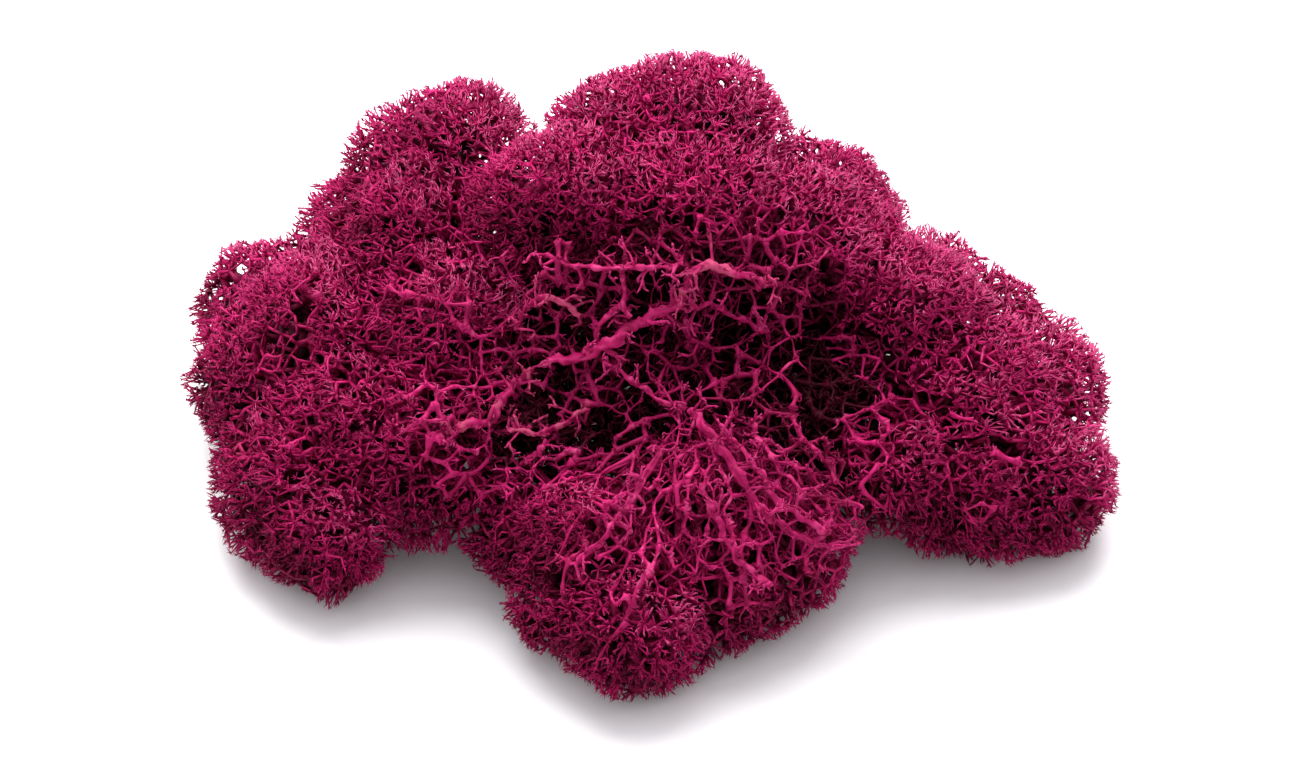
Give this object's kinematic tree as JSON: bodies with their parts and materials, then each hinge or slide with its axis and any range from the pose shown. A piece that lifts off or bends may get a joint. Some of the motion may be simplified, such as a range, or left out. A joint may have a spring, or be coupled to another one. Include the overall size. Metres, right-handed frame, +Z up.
{
  "type": "moss clump",
  "caption": "Loose clump of dyed, preserved reindeer moss: bare forking stems in an open hollow, ringed by dense crowns of fine branching tips.",
  "frame": {"origin": "on the surface it rests on, at the middle of the footprint", "axes": "+Z up, X along the length of the clump, -Y towards the open hollow and the toe"},
  "size_m": [0.1134, 0.0892, 0.0462],
  "materials": {
    "dyed_tips": "matte",
    "dyed_tips_deep": "matte",
    "dyed_stem": "matte",
    "pale_stem": "matte"
  },
  "bodies": {
    "root": {"toe_tip": "dyed_tips", "toe_sprig": "dyed_tips", "toe_right": "dyed_tips", "fan_right": "dyed_tips", "fan_left": "dyed_tips", "fan_middle": "dyed_tips", "front_left": "dyed_tips", "belly_left": "dyed_tips", "foot_left_toe": "dyed_tips", "foot_left_outer": "dyed_tips", "flank_left": "dyed_tips", "tip_left": "dyed_tips", "shoulder_left": "dyed_tips", "dome_small": "dyed_tips", "dome_left": "dyed_tips", "top_left": "dyed_tips", "top_middle": "dyed_tips", "slope_right": "dyed_tips", "shoulder_right": "dyed_tips", "tip_right_upper": "dyed_tips", "tip_right": "dyed_tips", "foot_right_outer": "dyed_tips", "foot_right": "dyed_tips", "belly_right": "dyed_tips", "middle_left_upper": "dyed_tips", "upper_left": "dyed_tips", "upper_middle": "dyed_tips", "upper_right": "dyed_tips", "middle_right": "dyed_tips", "low_right": "dyed_tips", "middle_left": "dyed_tips", "low_left": "dyed_tips", "centre_left": "dyed_tips", "low_centre_left": "dyed_tips", "inner_left": "dyed_tips_deep", "inner_right": "dyed_tips_deep", "hollow_left": "dyed_tips_deep", "hollow_middle": "dyed_tips_deep", "hollow_right": "dyed_tips_deep", "back_left": "dyed_tips", "back_centre_left": "dyed_tips", "back_upper": "dyed_tips", "back_centre": "dyed_tips", "back_right": "dyed_tips", "arm_main": "dyed_stem", "arm_down": "dyed_stem", "arm_up": "pale_stem", "arm_top_left": "dyed_stem", "arm_right": "dyed_stem", "arm_ring": "dyed_stem", "arm_tine": "dyed_stem", "antler_left": "pale_stem", "pale_arm": "pale_stem", "pale_fork_right": "pale_stem", "pale_fork_down": "dyed_stem", "fan_stem_upper": "dyed_stem", "fan_stem_main": "dyed_stem", "fan_stem_fork": "dyed_stem", "fan_stem_low": "dyed_stem", "fan_stem_left": "dyed_stem"}
  },
  "joints": []
}
